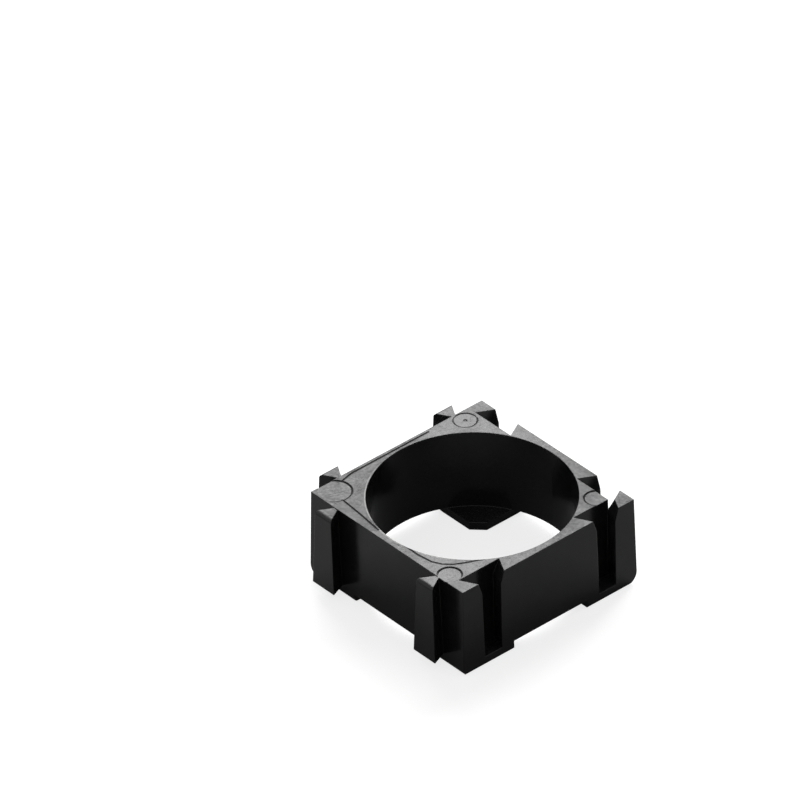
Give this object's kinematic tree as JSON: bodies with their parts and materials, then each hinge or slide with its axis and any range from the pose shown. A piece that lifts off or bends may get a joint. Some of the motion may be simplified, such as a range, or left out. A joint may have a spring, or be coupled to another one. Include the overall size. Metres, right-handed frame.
{
  "type": "battery cell holder bracket",
  "caption": "Square moulded bracket that holds one end of a cylindrical battery cell, with corner feet and dovetail ribs and grooves that join it to its neighbours.",
  "frame": {"origin": "on the bore's axis at the cell seat, the level of the feet's upper faces", "axes": "+Z along the bore's axis, towards the open top; the ribs are on the -X and +Y sides, the grooves on +X and -Y"},
  "size_m": [0.0217, 0.0217, 0.0088],
  "materials": {
    "black_plastic": "black injection-moulded plastic, semi-gloss"
  },
  "bodies": {
    "root": {"cell_bracket": "black_plastic"}
  },
  "joints": []
}
